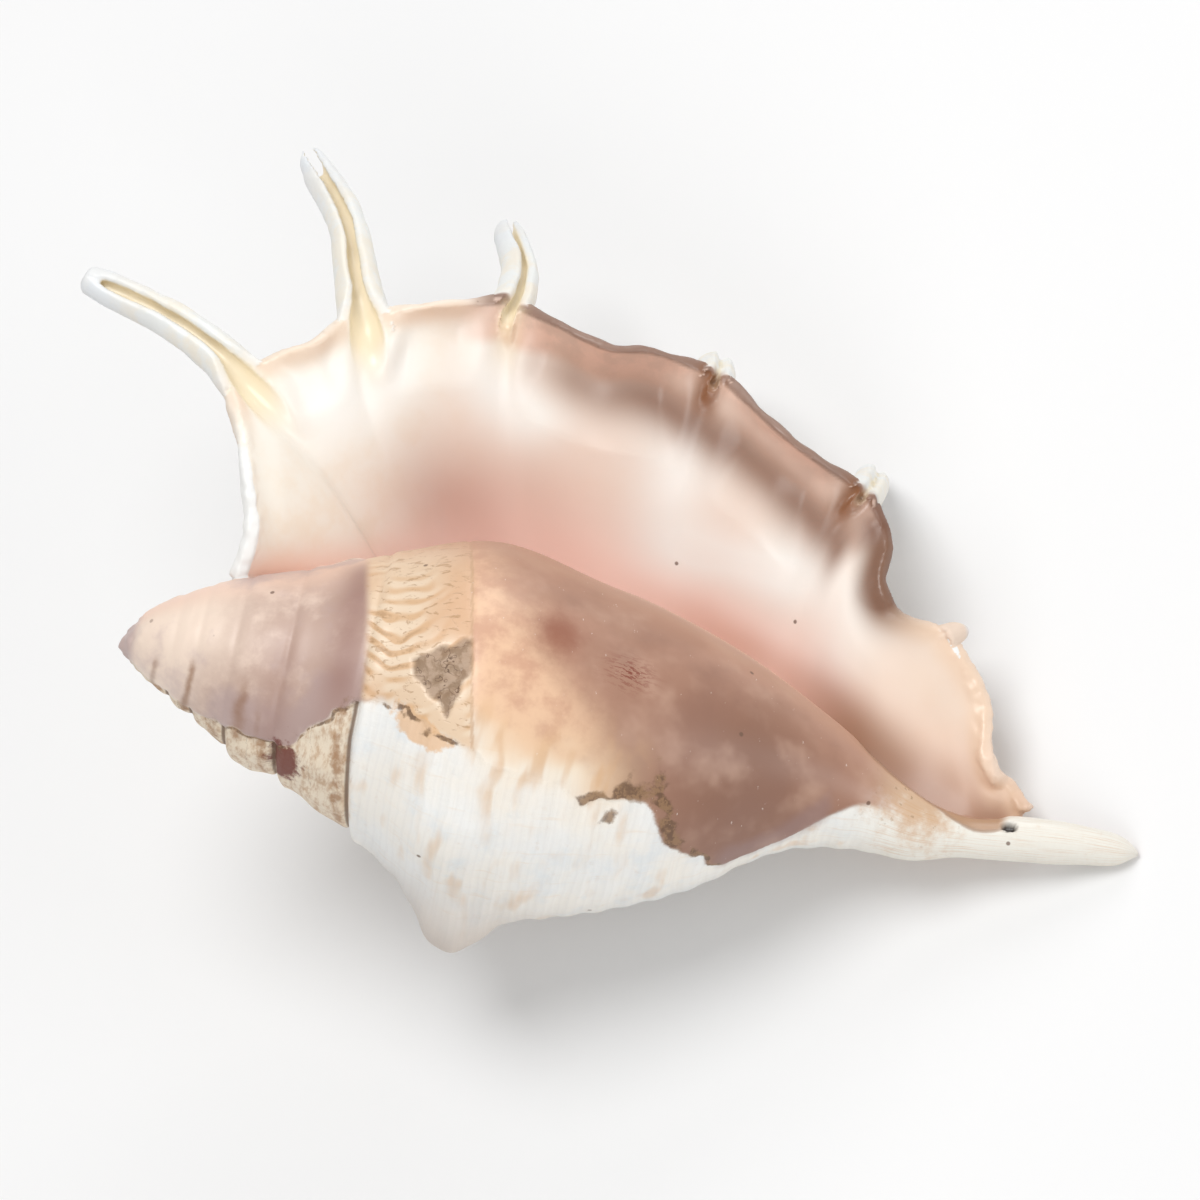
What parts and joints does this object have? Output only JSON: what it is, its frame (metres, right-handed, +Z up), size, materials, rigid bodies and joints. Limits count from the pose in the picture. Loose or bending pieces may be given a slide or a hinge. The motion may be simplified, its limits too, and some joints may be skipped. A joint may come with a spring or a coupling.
{
  "type": "spider conch shell",
  "caption": "Sea snail shell with a low spire, a flared outer lip edged with long curved hollow digits, and a drawn-out canal, lying on its back.",
  "frame": {"origin": "centre of the bounding box's base, on the surface that the shell lies on", "axes": "+Z up, +X along the coiling axis seen from above, from the spire towards the canal, +Y towards the outer lip"},
  "size_m": [0.1688, 0.1284, 0.0732],
  "materials": {
    "shell": "glossy porcelain inside the lip, chalky and worn outside"
  },
  "bodies": {
    "root": {"shell": "shell"}
  },
  "joints": []
}
